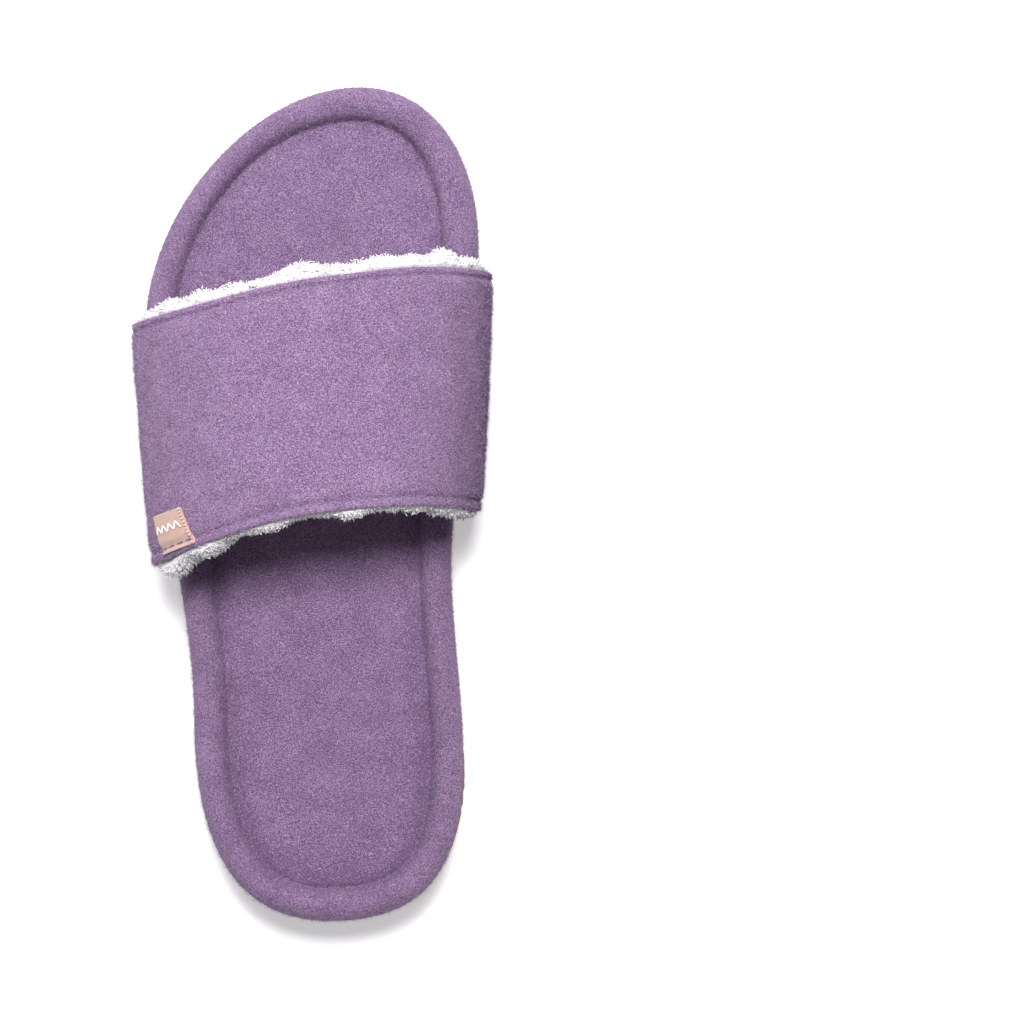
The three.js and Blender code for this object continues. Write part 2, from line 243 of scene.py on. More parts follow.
sole_length = 0.262
ball_width = 0.1045
heel_width = 0.0844
heel_shift = 0.0052
tip_shift = 0.015
arch_pinch = 0.0086
medial_ball, lateral_ball = 0.050, 0.076  # depths from the tip
medial_heel, lateral_heel, arch = 0.051, 0.064, 0.111  # depths from the back of the heel
toe_fullness, heel_fullness, side_fullness = (0.6, 0.49), (0.71, 0.66), 0.3  # medial, lateral
stations = 360
cover_low, cover_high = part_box("footbed_cover")
plan_middle = (cover_low + cover_high) / 2
tip, heel = sole_length / 2, -sole_length / 2


def lerp(a, b, t):
    return a + (b - a) * t


def smooth(low, high, x):
    """0 below low, 1 above high, and an even slope between them."""
    t = min(max((x - low) / (high - low), 0), 1)
    return t * t * (3 - 2 * t)


def sole_outline():
    """Points round the sole's plan from the back of the heel by way of the big toe, evenly spaced."""
    back, toe = Vector((heel_shift, heel)), Vector((tip_shift, tip))
    inner_heel = Vector((heel_shift + heel_width / 2, heel + medial_heel))
    outer_heel = Vector((heel_shift - heel_width / 2, heel + lateral_heel))
    inner_ball = Vector((ball_width / 2, tip - medial_ball))
    outer_ball = Vector((-ball_width / 2, tip - lateral_ball))
    waist = Vector((ball_width / 2 - arch_pinch, heel + arch))
    along, across = Vector((0, 1)), Vector((1, 0))
    spans = [
        (back, across, heel_fullness[0], inner_heel, along),
        (inner_heel, along, side_fullness, waist, along),
        (waist, along, side_fullness, inner_ball, along),
        (inner_ball, along, toe_fullness[0], toe, across),
        (toe, across, toe_fullness[1], outer_ball, along),
        (outer_ball, along, side_fullness, outer_heel, along),
        (outer_heel, along, heel_fullness[1], back, across),
    ]
    points = []
    for start, leaving, fullness, end, arriving in spans:
        reach = (end - start) * fullness
        handles = start + reach * leaving * leaving, end - reach * arriving * arriving
        points += interpolate_bezier(start, *handles, end, 80)[:-1]
    points.append(points[0])
    steps = [(b - a).length for a, b in zip(points, points[1:])]
    spacing = sum(steps) / stations
    even, walked, k = [], 0, 0
    for n in range(stations):
        while walked + steps[k] < n * spacing:
            walked += steps[k]
            k += 1
        even.append(points[k].lerp(points[k + 1], (n * spacing - walked) / steps[k]))
    return even


edge = [p + plan_middle.xy for p in sole_outline()]
turned = [edge[(n + 3) % stations] - edge[n - 3] for n in range(stations)]
outward = [Vector((t.y, -t.x)).normalized() for t in turned]
sole_middle = plan_middle.xy + Vector((heel_shift / 2, 0))
followed_inset = 0.014  # rings up to this far in follow the outline, and further in they shrink
shrinking_reach = 0.04  # past which they come together in the middle


def sole_point(turn, inset, z):
    """The point at a share of the way round the sole, that far in from its edge."""
    n, part = divmod(turn * stations, 1)
    a, b = int(n) % stations, int(n + 1) % stations
    normal = outward[a].lerp(outward[b], part)
    p = edge[a].lerp(edge[b], part) - normal * min(inset, followed_inset)
    if inset > followed_inset:
        p = p.lerp(sole_middle, min((inset - followed_inset) / shrinking_reach, 1))
    return Vector((p.x, p.y, z))


def make_piece(name, bm, materials, shaded_smooth=True, groups=()):
    """A finished mesh object at the origin, which rides on the slipper."""
    mesh = bpy.data.meshes.new(name)
    bm.to_mesh(mesh)
    bm.free()
    for material in materials:
        mesh.materials.append(material)
    mesh.polygons.foreach_set("use_smooth", [shaded_smooth] * len(mesh.polygons))
    piece = bpy.data.objects.new(name, mesh)
    for group in groups:
        piece.vertex_groups.new(name=group)
    bpy.context.collection.objects.link(piece)
    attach(piece, "root")
    return piece


def skin(columns, rows, place, ring=False, weights=()):
    """A grid bent to place(u, v), with both from 0 to 1. In a ring the two ends of u are one.

    Each weight is a function of u and v too, for the vertex group at the same place in its order.
    """
    bm = bmesh.new()
    bmesh.ops.create_grid(bm, x_segments=columns, y_segments=rows, size=0.5)
    groups = bm.verts.layers.deform.new()
    for vertex in bm.verts:
        u, v = round((vertex.co.x + 0.5) * columns), round((vertex.co.y + 0.5) * rows)
        u = (u % columns if ring else u) / columns
        for group, weight in enumerate(weights):
            vertex[groups][group] = weight(u, v / rows)
        vertex.co = place(u, v / rows)
    bmesh.ops.remove_doubles(bm, verts=bm.verts, dist=1e-6)
    return bm


def shades(low, high, dark, light):
    """Two stops of a colour ramp."""
    return (low, dark), (high, light)


rubber = Finish("tan_rubber", 0.72)
grain = rubber.noise(900, 4, 0.6)
stain = rubber.noise(35, 3)
rubber.drive(
    "Base Color",
    rubber.ramp(grain * 0.5 + stain * 0.5, *shades(0.35, 0.68, (0.30, 0.17, 0.09), (0.47, 0.30, 0.18))),
)
rubber.drive("Roughness", 0.6 + grain * 0.25)
rubber.bump(grain, 0.0002)

outsole_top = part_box("outsole")[1].z
outsole_inset, outsole_chamfer = 0.0009, 0.0007
outsole_skew = math.radians(0.2)
outsole_proud, outsole_rough = 0.0007, 0.0005  # the sliver at the heel's inner side, and its raggedness
tread_pitch, tread_groove, tread_depth, tread_radius = 0.011, 0.0026, 0.0013, 0.19
tread_overhang = 1.15  # how much longer a groove's cutter is than the sole is wide


def tread_groove_cutter(bm, middle):
    """A bowed bar across the sole, as long as the sole is wide and more."""
    half = math.asin(ball_width / 2 / tread_radius) * tread_overhang
    centre = Vector((sole_middle.x, middle - tread_radius, -tread_depth))
    ends = [tread_radius - tread_groove / 2, tread_radius + tread_groove / 2]
    start = [
        bm.verts.new(centre + Vector((math.sin(half) * r, math.cos(half) * r, z)))
        for r, z in ((ends[0], 0), (ends[1], 0), (ends[1], tread_depth * 2), (ends[0], tread_depth * 2))
    ]
    face = bm.faces.new(start)
    bmesh.ops.spin(
        bm, geom=[face], cent=centre, axis=(0, 0, 1), angle=half * 2, steps=40, use_duplicate=False
    )


bm = bmesh.new()
for n in range(stations):
    turn = n / stations
    proud = smooth(0.05, 0.07, turn) - smooth(0.11, 0.13, turn)
    ragged = outsole_proud + outsole_rough * noise.noise(Vector((n * 0.9, 0, 0)))
    bm.verts.new(sole_point(turn, outsole_inset - proud * ragged, 0))
sole_face = bm.faces.new(bm.verts[:])
walls = bmesh.ops.extrude_face_region(bm, geom=[sole_face])["geom"]
raised = [v for v in walls if isinstance(v, bmesh.types.BMVert)]
bmesh.ops.translate(bm, vec=(0, 0, outsole_top), verts=raised)
low_edges = [e for e in bm.edges if all(v.co.z < 1e-6 for v in e.verts)]
bmesh.ops.bevel(
    bm, geom=low_edges, offset=outsole_chamfer, segments=3, profile=0.5, affect="EDGES", material=-1
)
bmesh.ops.recalc_face_normals(bm, faces=bm.faces)
outsole = make_piece("outsole_rubber", bm, [rubber.material], shaded_smooth=False)

bm = bmesh.new()
count = math.floor((sole_length - 2 * tread_pitch) / tread_pitch)
for n in range(count + 1):
    tread_groove_cutter(bm, plan_middle.y + (n - count / 2) * tread_pitch)
bmesh.ops.recalc_face_normals(bm, faces=bm.faces)
cutters = make_piece("tread_cutters", bm, [])


def apply_modifiers(piece):
    """Leaves the piece with the mesh that its modifiers made."""
    graph = bpy.context.evaluated_depsgraph_get()
    made = bpy.data.meshes.new_from_object(piece.evaluated_get(graph), depsgraph=graph)
    piece.modifiers.clear()
    piece.data = made


cut = outsole.modifiers.new("tread", "BOOLEAN")
cut.operation, cut.object, cut.solver = "DIFFERENCE", cutters, "MANIFOLD"
apply_modifiers(outsole)
bpy.data.objects.remove(cutters)
pivot = Matrix.Translation((plan_middle.x, plan_middle.y + tip, 0))
outsole.data.transform(pivot @ Matrix.Rotation(outsole_skew, 4, "Z") @ pivot.inverted())
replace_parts(outsole, "outsole")
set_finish(outsole, "outsole_rubber")

# ---- Foam and board inside the sole ----
# The midsole is a block of cream foam, with a thinner sheet that fills the space between the turned-in
# felts. A brown fibre board stiffens it, and the footbed's foam cushion lies on the board.

foam = Finish("cream_foam", 0.88)
cells = foam.node(
    "ShaderNodeTexVoronoi", {"feature": "F1"}, {"Vector": foam.place, "Scale": 1400}, output="Distance"
)
foam.drive(
    "Base Color",
    foam.ramp(cells + foam.noise(60) * 0.3, *shades(0.1, 0.9, (0.62, 0.57, 0.49), (0.83, 0.80, 0.73))),
)
foam.bump(cells, 0.0003)

board = Finish("fibre_board", 0.9)
chips = board.noise(600, 4, 0.7, at=board.stretched((1, 3, 1)))
board.drive("Base Color", board.ramp(chips, *shades(0.3, 0.7, (0.28, 0.19, 0.11), (0.50, 0.38, 0.24))))
board.bump(chips, 0.0002)

for node in ("bottom_filler", "midsole", "footbed_pad", "upper_interlining"):
    frame["nodes"][node].data.materials.clear()
    frame["nodes"][node].data.materials.append(foam.material)
frame["nodes"]["insole_board"].data.materials.clear()
frame["nodes"]["insole_board"].data.materials.append(board.material)

# ---- Felt wrap on the sole's side ----
# A strip of purple felt is stretched round the midsole, sewn to the footbed's cover along its upper edge
# and glued under the midsole along its lower one.

felt_thickness, felt_bump, felt_waviness = 0.0016, 0.0009, 0.00018
wrap_outer_rows = range(2, 11)  # the rows of its profile that show


def felt_finish(name, dark, middle, light, pressed=0):
    """Heathered wool felt: fibres of three shades lie every way over each other, under a short nap.

    Where the mesh carries a mask of painted shade, the felt is darkened by it.
    """
    felt = Finish(name, 0.93, Sheen_Weight=0.12, Sheen_Roughness=0.5, Sheen_Tint=(0.85, 0.72, 0.9, 1))
    fleck = felt.noise(2700, 2, 0.6, 0.4)
    one_way = felt.noise(1800, 2, 0.6, 1.2, at=felt.stretched((2.2, 0.6, 2.0), (0.3, 0.2, 0.5)))
    other_way = felt.noise(1800, 2, 0.6, 1.2, at=felt.stretched((0.7, 2.0, 2.0), (0.1, 0.4, -0.35)))
    hairs = one_way * 0.5 + other_way * 0.5
    blotch = felt.noise(110, 2, 0.5)
    tone = fleck * 0.55 + hairs * 0.38 + blotch * 0.07
    # Painted shade: this darkens the felt by the mask that the mesh carries.
    if pressed:
        tone += felt.node("ShaderNodeAttribute", {"attribute_name": "pressed"}, output="Fac") * -pressed
    felt.drive("Base Color", felt.ramp(tone, (0.44, dark), (0.51, middle), (0.59, light)))
    felt.bump(fleck * 0.5 + hairs * 0.6, felt_bump)
    return felt


purple_shades = (0.130, 0.070, 0.165), (0.268, 0.160, 0.310), (0.460, 0.320, 0.510)
purple_felt = felt_finish("purple_felt", *purple_shades)

wrap_low, wrap_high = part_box("sole_wrap")
wrap_profile = [  # inset and height of the felt's outer face, then of its inner one
    (0.0120, wrap_low.z),
    (0.0060, wrap_low.z),
    (0.0026, wrap_low.z + 0.0001),
    (0.0012, wrap_low.z + 0.0007),
    (0.0006, wrap_low.z + 0.0020),
    (0.0004, wrap_low.z + 0.0045),
    (0.0005, wrap_low.z + 0.0075),
    (0.0007, wrap_high.z - 0.0018),
    (0.0010, wrap_high.z - 0.0006),
    (0.0018, wrap_high.z + 0.0004),
    (0.0028, wrap_high.z + 0.0005),
    (0.0031, wrap_high.z - 0.0006),
    (0.0024, wrap_high.z - 0.0030),
    (0.0021, wrap_low.z + 0.0075),
    (0.0021, wrap_low.z + 0.0040),
    (0.0026, wrap_low.z + 0.0020),
    (0.0060, wrap_low.z + felt_thickness),
    (0.0120, wrap_low.z + felt_thickness),
]


def wrap_place(u, v):
    """Round the sole by u, and round the felt's section by v."""
    inset, z = wrap_profile[round(v * len(wrap_profile)) % len(wrap_profile)]
    p = sole_point(u, inset, z)
    return p + felt_waviness * noise.noise_vector(p * 90)


def wrap_side(u, v):
    """1 on the wrap's outer face."""
    return float(round(v * len(wrap_profile)) in wrap_outer_rows)


bm = skin(stations, len(wrap_profile), wrap_place, ring=True, weights=(wrap_side,))
bmesh.ops.recalc_face_normals(bm, faces=bm.faces)
wrap = make_piece("sole_wrap_felt", bm, [purple_felt.material], groups=("nap",))
smoothing = wrap.modifiers.new("smooth", "SUBSURF")
smoothing.levels = smoothing.render_levels = 1
apply_modifiers(wrap)
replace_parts(wrap, "sole_wrap")
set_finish(wrap, "felt")

# ---- Footbed ----
# The cover is one piece of the same felt, moulded over the foam roll round the edge and the cushion in
# the middle. The crease between them is pressed sharp at the toe and the heel and stays soft at the sides.

cover_thickness = 0.0018
rim_rise, rim_drop = 0.005, 0.002  # of the roll's crest above the panel, and its widest line below it
crest = cover_high.z
panel_level = crest - rim_rise
widest_level = panel_level - rim_drop
undercut = math.radians(40)
rim_widths = ((0, 0.0104), (0.2, 0.0098), (0.37, 0.0121), (0.47, 0.0110), (0.57, 0.0085), (0.75, 0.0107))
crease_softness = (
    (0, 0.0006), (0.14, 0.0022), (0.3, 0.0030), (0.4, 0.0010), (0.47, 0.0006), (0.57, 0.0010), (0.7, 0.0030),
    (0.88, 0.0022),
)
sharpest, softest = 0.0008, 0.0026  # creases outside these are pressed in fully, or not at all
crease_depth, crease_width = 0.0007, 0.0008
roll_squareness = 2.2
seam_drop, seam_insets = 0.0006, (0.0030, 0.0019)  # of the cover's lower edge, which is turned in
cover_slack = 0.0003  # left free between the cover and the foam
roll_steps, valley_steps, panel_steps = 22, 36, 16
valley_reach = 0.009  # past the roll's inner edge
panel_swell, panel_slope = 0.0016, 0.012
painted_shade_middle, painted_shade_reach = 0.0012, 0.0036  # where the painted shade is darkest, past the roll's inner edge, and how far it spreads
painted_shade_at_side = 0.4  # as a share of how much it is at the heel
broad_waves, fine_waves = 0.00025, 0.00012


def round_the_sole(knots, turn):
    """The value at a share of the way round, eased between the knots and back to the first."""
    knots = [*knots, (1, knots[0][1])]
    for (a, low), (b, high) in zip(knots, knots[1:]):
        if a <= turn <= b:
            return lerp(low, high, smooth(a, b, turn))


def crest_height(inset, width):
    """The roll's height over its inner half, which falls away steeply past its edge."""
    x = (inset - width / 2) / (width / 2)
    rise = crest - widest_level
    if x >= 1:
        return widest_level - rise * (x - 1)
    return widest_level + rise * (1 - abs(x) ** roll_squareness) ** (1 / roll_squareness)


def panel_height(inset, width):
    """The cushion's top, which swells a little from the crease to the middle."""
    return panel_level + panel_swell * smooth(0, panel_slope, inset - width)


def blended(a, b, softness):
    """The higher of two heights, rounded over where they meet."""
    return max(a, b) + max(softness - abs(a - b), 0) ** 2 / (4 * softness)


def cover_profile(turn, depth=0):
    """Insets and heights from the seam under the roll, over it, and along the panel to the middle."""
    width = round_the_sole(rim_widths, turn)
    softness = round_the_sole(crease_softness, turn)
    profile = [(inset + depth, cover_low.z - seam_drop + depth) for inset in seam_insets]
    for n in range(roll_steps):
        angle = lerp(-undercut, math.pi / 2, n / roll_steps)
        across, up = math.cos(angle), math.sin(angle)
        across = math.copysign(abs(across) ** (2 / roll_squareness), across)
        up = math.copysign(abs(up) ** (2 / roll_squareness), up)
        profile.append(
            (width / 2 - (width / 2 - depth) * across, widest_level + (crest - widest_level - depth) * up)
        )
    reach = width / 2 + valley_reach
    for n in range(valley_steps):
        inset = width / 2 + reach * n / valley_steps
        height = blended(crest_height(inset, width), panel_height(inset, width), softness)
        crease = math.exp(-(((inset - width * 0.99) / crease_width) ** 2))
        sharp = smooth(softest, sharpest, softness) if softness < softest else 0
        profile.append((inset, height - crease_depth * crease * sharp - depth))
    start = width / 2 + reach
    for n in range(panel_steps + 1):
        inset = lerp(start, followed_inset + shrinking_reach, n / panel_steps)
        profile.append((inset, panel_height(inset, width) - depth))
    return profile


cover_rows = 2 + roll_steps + valley_steps + panel_steps
profiles = [cover_profile(n / stations) for n in range(stations)]


def cover_place(u, v):
    """Round the sole by u, and from the seam to the panel's middle by v."""
    inset, z = profiles[round(u * stations) % stations][round(v * cover_rows)]
    p = sole_point(u, inset, z)
    return p + Vector((0, 0, broad_waves * noise.noise(p * 70) + fine_waves * noise.noise(p * 240)))


# The cover's felt is darkened in the crease round the heel as painted shade.
def cover_painted_shade(u, v):
    """Painted shade: 1 in the crease at the heel, less at the sides and none at the toe, and fading over the
    panel.
    """
    inset = profiles[round(u * stations) % stations][round(v * cover_rows)][0]
    at_heel = smooth(0.22, 0.08, min(u, 1 - u))
    at_toe = smooth(0.35, 0.43, u) - smooth(0.57, 0.65, u)
    past = inset - round_the_sole(rim_widths, u) - painted_shade_middle
    return lerp(painted_shade_at_side, 1, at_heel) * (1 - at_toe) * math.exp(-((past / painted_shade_reach) ** 2))


def cover_napped(u, v):
    """The nap is half as dense where the shade is painted darkest."""
    return 1 - 0.5 * cover_painted_shade(u, v)


bm = skin(stations, cover_rows, cover_place, ring=True, weights=(cover_napped, cover_painted_shade))
bmesh.ops.recalc_face_normals(bm, faces=bm.faces)
bmesh.ops.smooth_vert(bm, verts=bm.verts, factor=0.3, use_axis_x=True, use_axis_y=True, use_axis_z=True)
# The mask of painted shade is stored on the cover's mesh, for its felt to darken by.
cover_felt = felt_finish("cover_felt", *purple_shades, pressed=0.045)
cover = make_piece("footbed_cover_felt", bm, [cover_felt.material], groups=("nap", "painted_shade_share"))
pressed = cover.data.attributes.new("pressed", "FLOAT", "POINT")
pressed.data.foreach_set("value", [vertex.groups[1].weight for vertex in cover.data.vertices])
cover_skin = cover.copy()
cover_skin.data = cover.data.copy()
bpy.context.collection.objects.link(cover_skin)
wall = cover.modifiers.new("wall", "SOLIDIFY")
wall.thickness, wall.offset = cover_thickness - cover_slack, -1
apply_modifiers(cover)
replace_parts(cover, "footbed_cover")
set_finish(cover, "felt")

first_row, last_row = 6, roll_steps + valley_steps // 2
roll_profiles = [
    cover_profile(n / stations, cover_thickness + cover_slack)[first_row:last_row] for n in range(stations)
]
roll_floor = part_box("rim_roll")[0].z


def roll_place(u, v):
    """Round the sole by u, and round the roll's section by v."""
    profile = roll_profiles[round(u * stations) % stations]
    inset, z = profile[round(v * len(profile)) % len(profile)]
    return sole_point(u, inset, max(z, roll_floor))


bm = skin(stations, len(roll_profiles[0]), roll_place, ring=True)
bmesh.ops.recalc_face_normals(bm, faces=bm.faces)
roll = make_piece("rim_roll_foam", bm, [foam.material])
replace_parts(roll, "rim_roll")
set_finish(roll, "foam")

# ---- Band over the foot ----
# The band's outer layer is one piece of felt, turned in under its front and rear edges and under the
# midsole. It is sewn through near both edges, so it puffs up over the foam between the two rows.

front_corner = {-1: tip - 0.075, 1: tip - 0.059}  # on the outer side of the foot, then on the inner
rear_corner = {-1: tip - 0.150, 1: tip - 0.133}
front_bow, front_bow_skew, rear_bow = 0.0055, 1.25, 0.008
front_crown, rear_crown, crown_shift, crown_squareness = 0.064, 0.079, 0.006, 2.35
bulge_height, margin_height = 0.030, 0.0038
standoffs = {-1: (0.0035, 0.0068), 1: (0.0046, 0.0086)}  # front, then rear
band_margin, band_tuck = 0.0115, 0.0015
margin_share, side_share = 0.08, 0.22
band_length = 0.0745
shell_thickness = 0.0016
levels = 500


def edge_x(side, y):
    """Where the sole's edge crosses that line across, on one side."""
    crossings = [
        lerp(a.x, b.x, (y - a.y) / (b.y - a.y)) for a, b in zip(edge, edge[1:]) if (a.y > y) != (b.y > y)
    ]
    return max(crossings) if side > 0 else min(crossings)


lowest_y, highest_y = plan_middle.y - 0.05, plan_middle.y + 0.1
edge_table = {
    side: [edge_x(side, lerp(lowest_y, highest_y, n / levels)) for n in range(levels + 1)]
    for side in (-1, 1)
}


def side_edge(side, y):
    """The same from the table, which is quicker."""
    n, part = divmod((y - lowest_y) / (highest_y - lowest_y) * levels, 1)
    return lerp(edge_table[side][int(n)], edge_table[side][int(n) + 1], part)


def band_y(across, along):
    """Both edges run straight up the band's sides and bow over the foot."""
    arch = min(max((across - side_share) / (1 - 2 * side_share), 0), 1)
    plan = (1 - math.cos(math.pi * arch)) / 2
    front = lerp(front_corner[-1], front_corner[1], plan)
    front += front_bow * math.sin(math.pi * plan**front_bow_skew)
    rear = lerp(rear_corner[-1], rear_corner[1], plan) + rear_bow * math.sin(math.pi * plan)
    return plan_middle.y + lerp(front, rear, along)


def side_x(side, along):
    """How far out the band's side stands."""
    ends = [
        side_edge(side, plan_middle.y + corner[side]) + side * standoff
        for corner, standoff in zip((front_corner, rear_corner), standoffs[side])
    ]
    return lerp(*ends, along)


def band_section(across, along):
    """The felt's outer face. Across runs from the outer margin's end to the inner one's."""
    side = -1 if across < 0.5 else 1
    share = min(across, 1 - across)
    out, y = side_x(side, along), band_y(across, along)
    tuck = side_edge(side, y) - side * band_tuck
    if share < margin_share:
        return Vector((tuck - side * band_margin * (1 - share / margin_share), y, margin_height))
    if share < side_share:
        angle = (share - margin_share) / (side_share - margin_share) * math.pi / 2
        rise = (bulge_height - margin_height) * (1 - math.cos(angle))
        return Vector((lerp(tuck, out, math.sin(angle)), y, margin_height + rise))
    angle = (share - side_share) / (0.5 - side_share) * math.pi / 2
    middle = (side_x(-1, along) + side_x(1, along)) / 2
    crown = lerp(front_crown, rear_crown, along)
    inward = max(math.cos(angle), 0) ** (2 / crown_squareness)
    x = middle + crown_shift * math.sin(angle) ** 2 + (out - middle) * inward
    return Vector((x, y, bulge_height + (crown - bulge_height) * math.sin(angle) ** (2 / crown_squareness)))


def band_point(across, along, depth):
    """A point that deep inside the felt's outer face."""
    step = 2e-3
    p, a, b = (band_section(across + d, along) for d in (0, -step, step))
    inward = Vector((b.z - a.z, 0, a.x - b.x)).normalized()
    return p + inward * depth


def evenly_across(start, end, count):
    """Shares across the band whose points are the same distance apart, from start to end."""
    fine = 600
    shares = [lerp(start, end, n / fine) for n in range(fine + 1)]
    points = [band_section(share, 0.5) for share in shares]
    walked = [0]
    for a, b in zip(points, points[1:]):
        walked.append(walked[-1] + (b - a).length)
    even, k = [], 0
    for n in range(count + 1):
        target = walked[-1] * n / count
        while k < fine - 1 and walked[k + 1] < target:
            k += 1
        even.append(lerp(shares[k], shares[k + 1], (target - walked[k]) / (walked[k + 1] - walked[k])))
    return even


hem = [  # distance from the edge and depth, from inside the fold over the sewn edge to the panel
    (0.0026, 0.0017),
    (0.0012, 0.00165),
    (0.0004, 0.0014),
    (0.00002, 0.00085),
    (0.0001, 0.00045),
    (0.0005, 0.00015),
    (0.00105, 0.00005),
    (0.0016, 0.00012),
    (0.00205, 0.00045),
    (0.0024, 0.00095),
    (0.00275, 0.00055),
    (0.0032, 0.0002),
    (0.0039, 0),
    (0.0048, -0.0001),
]
front_hem, rear_hem = 0.0024, 0.0029  # how far in the rows are sewn
hem_row, sewn = 0.0024, 9  # the sewn row's distance in the hem's list, and its place there
hem_looseness = (0.5, 0.8, 1.0)  # of the rows past the sewn one, on to the panel
panel_rows, inner_rows, across_columns = 30, 6, 150
panel_crown, inner_margin = 0.0002, 0.004


def shell_ring():
    """Distance along the band, depth and looseness, round its section, starting at the front fold."""
    loose = [0.0] * (sewn + 2) + list(hem_looseness)
    front = [(s / hem_row * front_hem, depth, free) for (s, depth), free in zip(hem, loose)]
    rear = [
        (band_length - s / hem_row * rear_hem, depth, free) for (s, depth), free in zip(hem, loose)
    ]
    panel = []
    for n in range(1, panel_rows):
        s = lerp(front[-1][0], rear[-1][0], n / panel_rows)
        panel.append((s, front[-1][1] - panel_crown * math.sin(math.pi * n / panel_rows), 1))
    inner = [
        (lerp(band_length - inner_margin, inner_margin, n / inner_rows), shell_thickness, 0)
        for n in range(inner_rows + 1)
    ]
    return front + panel + rear[::-1] + inner


ring_of_shell = shell_ring()
shares_across = evenly_across(0, 1, across_columns)


def puffed(across):
    """0 where the band is squeezed under the midsole, and 1 up its sides and over the foot."""
    return smooth(margin_share, margin_share + 0.06, min(across, 1 - across))


def shell_place(u, v):
    """Round the felt's section by u, and across the band by v."""
    s, depth, _ = ring_of_shell[round(u * len(ring_of_shell)) % len(ring_of_shell)]
    across = shares_across[round(v * across_columns)]
    flat = shell_thickness if depth > 0.0008 else 0
    depth = lerp(flat, depth, puffed(across))
    return band_point(across, s / band_length, depth)


label_place, label_reach = (0.27, 0.37), 0.016  # where the label will lie, in from the rear edge


def held(u, v):
    """1 where the felt is sewn, glued or under the label, and 0 where it can puff up."""
    across = shares_across[round(v * across_columns)]
    s, _, free = ring_of_shell[round(u * len(ring_of_shell)) % len(ring_of_shell)]
    if label_place[0] < across < label_place[1] and s > band_length - label_reach:
        return 1.0
    return 1 - free * smooth(side_share - 0.06, side_share + 0.03, min(across, 1 - across))


def outside(u, v):
    """1 on the felt that shows, except along the two sewn rows."""
    s, depth, _ = ring_of_shell[round(u * len(ring_of_shell)) % len(ring_of_shell)]
    across = shares_across[round(v * across_columns)]
    seam = min(abs(s - front_hem), abs(band_length - rear_hem - s)) < 0.0003
    return float(depth < 0.0011 and not seam and min(across, 1 - across) > margin_share)


# The band's felt is a lighter copy of the purple felt: painted light, for the band standing nearer the lamp.
band_felt_painted_light = felt_finish("band_felt_painted_light", (0.150, 0.080, 0.185), (0.310, 0.186, 0.355), (0.520, 0.365, 0.570))
bm = skin(len(ring_of_shell), across_columns, shell_place, ring=True, weights=(outside, held))
bmesh.ops.holes_fill(bm, edges=bm.edges, sides=0)
bmesh.ops.recalc_face_normals(bm, faces=bm.faces)
shell = make_piece("upper_shell_felt", bm, [band_felt_painted_light.material], groups=("nap", "held"))


def inflate(piece, pressure, growth, cap, sag):
    """Blows the piece up as a stuffed cloth, except where it is held.

    It swells by no more than the cap, and sinks by no more than the sag.
    """
    frames = 20
    before = [v.co.copy() for v in piece.data.vertices]
    normals = [v.normal.copy() for v in piece.data.vertices]
    cloth = piece.modifiers.new("cloth", "CLOTH")
    cloth.settings.quality = 6
    cloth.settings.mass = 0.001
    cloth.settings.tension_stiffness = cloth.settings.compression_stiffness = 12
    cloth.settings.shear_stiffness = 5
    cloth.settings.bending_stiffness = 0.6
    cloth.settings.use_pressure = True
    cloth.settings.uniform_pressure_force = pressure
    cloth.settings.shrink_min = -growth
    cloth.settings.vertex_group_mass = "held"
    cloth.settings.effector_weights.gravity = 0
    cloth.collision_settings.use_collision = False
    cloth.point_cache.frame_end = frames
    for step in range(1, frames + 1):
        bpy.context.scene.frame_set(step)
    apply_modifiers(piece)
    bpy.context.scene.frame_set(1)
    for vertex, start, outwards in zip(piece.data.vertices, before, normals):
        vertex.co = start + outwards * min(max((vertex.co - start).dot(outwards), -sag), cap)


inflate(shell, pressure=4, growth=0.008, cap=0.0006, sag=0.0001)
smoothing = shell.modifiers.new("smooth", "SUBSURF")
smoothing.levels = smoothing.render_levels = 1
apply_modifiers(shell)
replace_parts(shell, "upper_shell")
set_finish(shell, "felt")

# ---- Fleece inside the band ----
# Curly white sherpa fleece lines the band. Its pile stands in clumps, and its cut edges show as a
# ragged fringe past the felt's front and rear edges.

# Its faint lilac tint is painted light: purple light bounced off the felt.
fleece = Finish("white_fleece", 0.95, Sheen_Weight=0.4, Sheen_Roughness=0.6)
clumps = fleece.noise(350, 3, 0.6)
fleece.drive(
    "Base Color", fleece.ramp(clumps, *shades(0.32, 0.62, (0.72, 0.70, 0.73), (0.84, 0.82, 0.84)))
)
fleece.bump(clumps, 0.0012)

fleece_end, fleece_thickness, interlining_thickness = 0.16, 0.0055, 0.002
fleece_columns, fleece_rows, fleece_sides = 170, 72, 12
fleece_shares = evenly_across(fleece_end, 1 - fleece_end, fleece_columns)
fleece_past = (0.0015, -0.0011)  # past the felt's front and rear edges
fleece_loop = 2 * (fleece_rows + fleece_sides)
lining_gap, side_pile = 0.0003, 0.0009  # to the felt, and the pile's thickness where it is pressed flat
edge_gap, edge_ease = 0.0002, (0.0006, 0.0026)  # at the cut edges, and where it opens to the full gap
bunches, bunch_width = ((0.29, 0.0032), (0.735, 0.0022)), 0.045  # where they are, and how far they reach
front_lobes, rear_lobes, fleece_lumps, edge_lumps = 0.0036, 0.0024, 0.0009, 0.0005


def rear_bunching(across):
    """The fleece bunches up and sags out at the two rear corners."""
    return sum(reach * math.exp(-(((across - place) / bunch_width) ** 2)) for place, reach in bunches)


def over_foot(across):
    """0 down the band's sides, where the fleece is squeezed thin, and 1 over the foot."""
    return smooth(side_share, side_share + 0.12, min(across, 1 - across))


